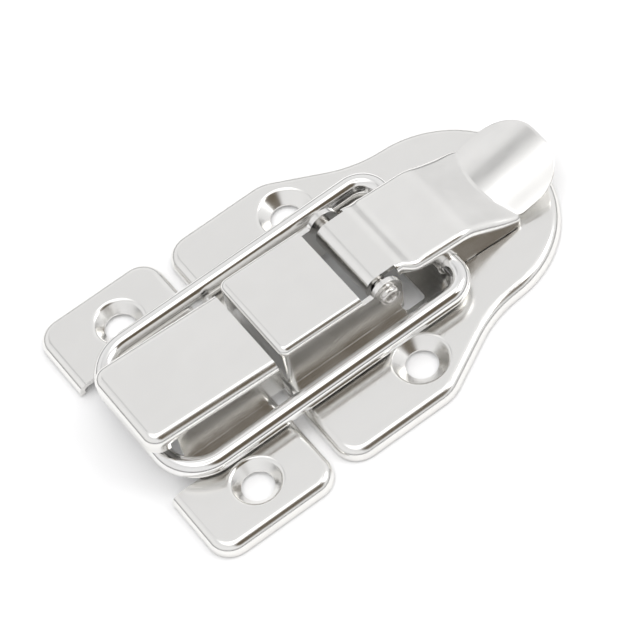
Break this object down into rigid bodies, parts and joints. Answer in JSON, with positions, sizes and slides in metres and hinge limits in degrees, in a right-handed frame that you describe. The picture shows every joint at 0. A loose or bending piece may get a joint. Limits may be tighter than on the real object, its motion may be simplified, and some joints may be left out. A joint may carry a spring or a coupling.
{
  "type": "toggle latch",
  "caption": "Large pressed-steel toggle latch on flanged screw plates, with a wire draw loop, hooked keeper and an over-centre lever with a arched thumb lip.",
  "frame": {"origin": "centre of the bounding box at the mounting face", "axes": "+X from the keeper towards the thumb lip, +Y across the latch, +Z out of the mounting face"},
  "size_m": [0.099, 0.065, 0.0135],
  "materials": {
    "keeper_steel": "satin nickel plate over pressed steel",
    "base_steel": "satin nickel plate over pressed steel",
    "pin_steel": "bright nickel plate",
    "lever_steel": "satin nickel plate over pressed steel",
    "wire_steel": "bright nickel plate"
  },
  "bodies": {
    "mounting": {"keeper_plate": "keeper_steel", "base_plate": "base_steel", "pivot_pin": "pin_steel"},
    "lever": {"lever": "lever_steel"},
    "loop": {"wire_loop": "wire_steel"}
  },
  "joints": [
    {"name": "lever_lift", "type": "hinge", "parent": "mounting", "child": "lever", "pos_m": [0.0055, 0, 0.01], "axis": [0, -1, 0], "range_deg": [0, 100]},
    {"name": "loop_swing", "type": "hinge", "parent": "lever", "child": "loop", "pos_m": [0.0197, 0, 0.0056], "axis": [0, -1, 0], "range_deg": [-81, 0]}
  ],
  "couplings": [
    {"joint": "loop_swing", "follows": "lever_lift", "ratio": -0.805}
  ]
}
